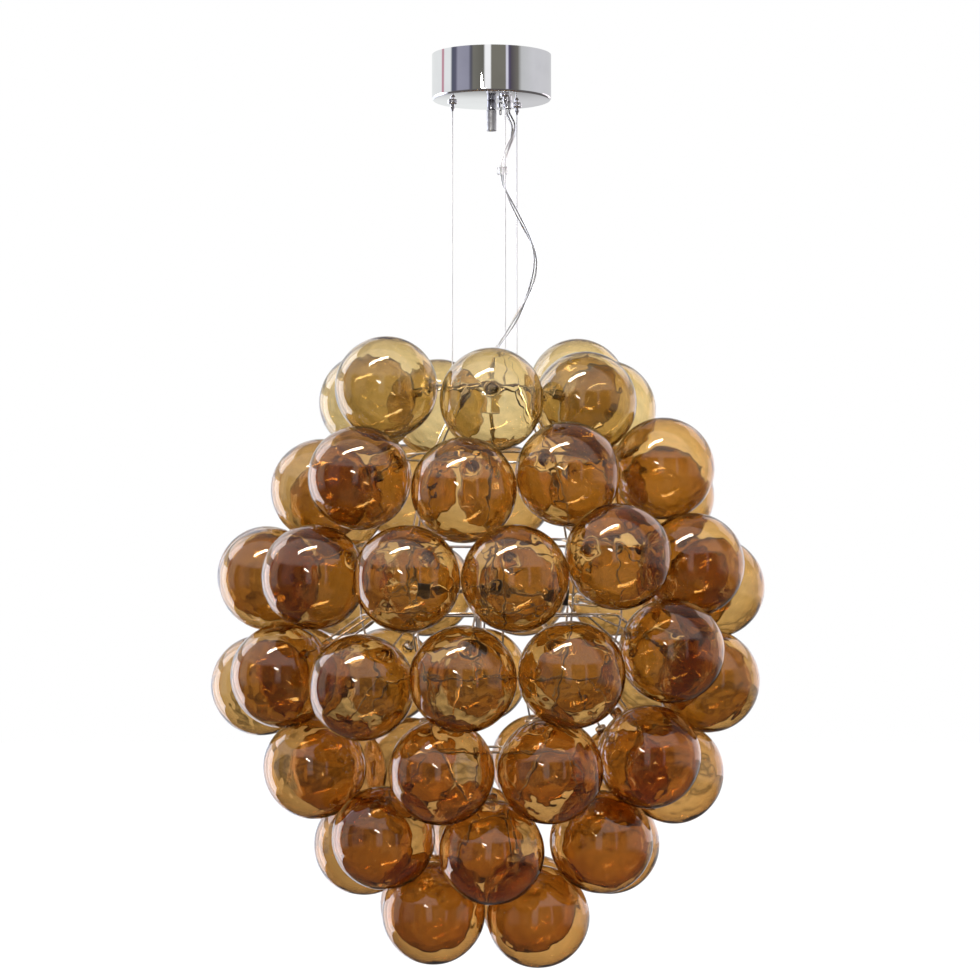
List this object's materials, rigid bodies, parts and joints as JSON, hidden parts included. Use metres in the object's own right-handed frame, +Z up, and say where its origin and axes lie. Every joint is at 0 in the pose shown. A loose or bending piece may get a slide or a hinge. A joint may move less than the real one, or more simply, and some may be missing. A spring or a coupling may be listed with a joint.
{
  "type": "pendant ceiling light",
  "caption": "Pendant light: a drop-shaped cluster of hollow amber glass globes on a round wire cage, hung from a chrome canopy by steel wires and a clear flex.",
  "frame": {"origin": "where the lamp's vertical axis meets the ceiling, at the middle of the canopy's open top", "axes": "+Z up to the ceiling, -Y towards the viewer of the picture, +X to the viewer's right"},
  "size_m": [0.5508, 0.5427, 0.9084],
  "materials": {
    "polished_chrome": "mirror-polished chrome plate",
    "cage_chrome": "chrome-plated round wire",
    "zinc_steel": "zinc-plated steel",
    "steel_wire": "fine stranded steel",
    "grey_metal": "matte grey metal with a dark chrome collar",
    "white_plastic": "moulded white plastic",
    "black_ceramic": "dark glazed ceramic",
    "clear_flex": "clear two-core flex",
    "clear_plastic": "clear moulded plastic",
    "clear_glass": "clear quartz glass",
    "amber_glass": "hand-blown amber glass"
  },
  "bodies": {
    "ceiling_mount": {"ceiling_bracket": "zinc_steel", "mounting_stud": "zinc_steel", "terminal_block": "white_plastic"},
    "canopy": {"canopy_cup": "polished_chrome", "gripper_body_1": "polished_chrome", "gripper_body_2": "polished_chrome", "gripper_body_3": "polished_chrome", "cord_gland": "polished_chrome", "gland_screw": "steel_wire", "cord_clip": "clear_plastic"},
    "nut": {"canopy_nut": "grey_metal"},
    "nose_1": {"gripper_nose_1": "polished_chrome"},
    "nose_2": {"gripper_nose_2": "polished_chrome"},
    "nose_3": {"gripper_nose_3": "polished_chrome"},
    "shade": {"suspension_wire_1": "steel_wire", "suspension_wire_2": "steel_wire", "suspension_wire_3": "steel_wire", "power_cord": "clear_flex", "cage_frame": "cage_chrome", "cage_ring_2": "cage_chrome", "cage_ring_3": "cage_chrome", "cage_ring_4": "cage_chrome", "cage_ring_5": "cage_chrome", "cage_ring_6": "cage_chrome", "cord_anchor": "clear_plastic", "lamp_hub": "cage_chrome", "lamp_holder_left": "black_ceramic", "lamp_holder_front": "black_ceramic", "lamp_holder_right": "black_ceramic", "lamp_holder_rear": "black_ceramic", "lamp_holder_down": "black_ceramic", "globes_crown_1": "amber_glass", "globes_crown_2": "amber_glass", "globes_crown_3": "amber_glass", "globes_second_1": "amber_glass", "globes_second_2": "amber_glass", "globes_second_3": "amber_glass", "globes_third_1": "amber_glass", "globes_third_2": "amber_glass", "globes_third_3": "amber_glass", "globes_third_4": "amber_glass", "globes_fourth_1": "amber_glass", "globes_fourth_2": "amber_glass", "globes_fourth_3": "amber_glass", "globes_fourth_4": "amber_glass", "globes_fifth_1": "amber_glass", "globes_fifth_2": "amber_glass", "globes_fifth_3": "amber_glass", "globes_fifth_4": "amber_glass", "globes_fifth_5": "amber_glass", "globes_sixth_1": "amber_glass", "globes_sixth_2": "amber_glass", "globes_sixth_3": "amber_glass", "globes_sixth_4": "amber_glass", "globes_lowest_1": "amber_glass"},
    "lamp_left": {"bulb_left": "clear_glass"},
    "lamp_front": {"bulb_front": "clear_glass"},
    "lamp_right": {"bulb_right": "clear_glass"},
    "lamp_rear": {"bulb_rear": "clear_glass"},
    "lamp_down": {"bulb_down": "clear_glass"}
  },
  "joints": [
    {"name": "canopy_drop", "type": "slide", "parent": "ceiling_mount", "child": "canopy", "axis": [0, 0, 1], "range_m": [-0.08, 0]},
    {"name": "nut_turn", "type": "hinge", "parent": "canopy", "child": "nut", "pos_m": [0, 0, -0.06], "axis": [0, 0, 1], "continuous": true},
    {"name": "shade_height", "type": "slide", "parent": "canopy", "child": "shade", "axis": [0, 0, 1], "range_m": [-1, 0.1], "deforming": ["suspension_wire_1", "suspension_wire_2", "suspension_wire_3", "power_cord"]},
    {"name": "nose_press_1", "type": "slide", "parent": "canopy", "child": "nose_1", "axis": [0, 0, 1], "range_m": [0, 0.002], "stiffness_N_per_m": 600, "springref_m": -0.001},
    {"name": "nose_press_2", "type": "slide", "parent": "canopy", "child": "nose_2", "axis": [0, 0, 1], "range_m": [0, 0.002], "stiffness_N_per_m": 600, "springref_m": -0.001},
    {"name": "nose_press_3", "type": "slide", "parent": "canopy", "child": "nose_3", "axis": [0, 0, 1], "range_m": [0, 0.002], "stiffness_N_per_m": 600, "springref_m": -0.001},
    {"name": "pull_left", "type": "slide", "parent": "shade", "child": "lamp_left", "axis": [-1, 0, 0], "range_m": [0, 0.011]},
    {"name": "pull_front", "type": "slide", "parent": "shade", "child": "lamp_front", "axis": [0, -1, 0], "range_m": [0, 0.011]},
    {"name": "pull_right", "type": "slide", "parent": "shade", "child": "lamp_right", "axis": [0.9945, 0, -0.1045], "range_m": [0, 0.011]},
    {"name": "pull_rear", "type": "slide", "parent": "shade", "child": "lamp_rear", "axis": [0, 1, 0], "range_m": [0, 0.011]},
    {"name": "pull_down", "type": "slide", "parent": "shade", "child": "lamp_down", "axis": [0, 0, -1], "range_m": [0, 0.011]}
  ]
}
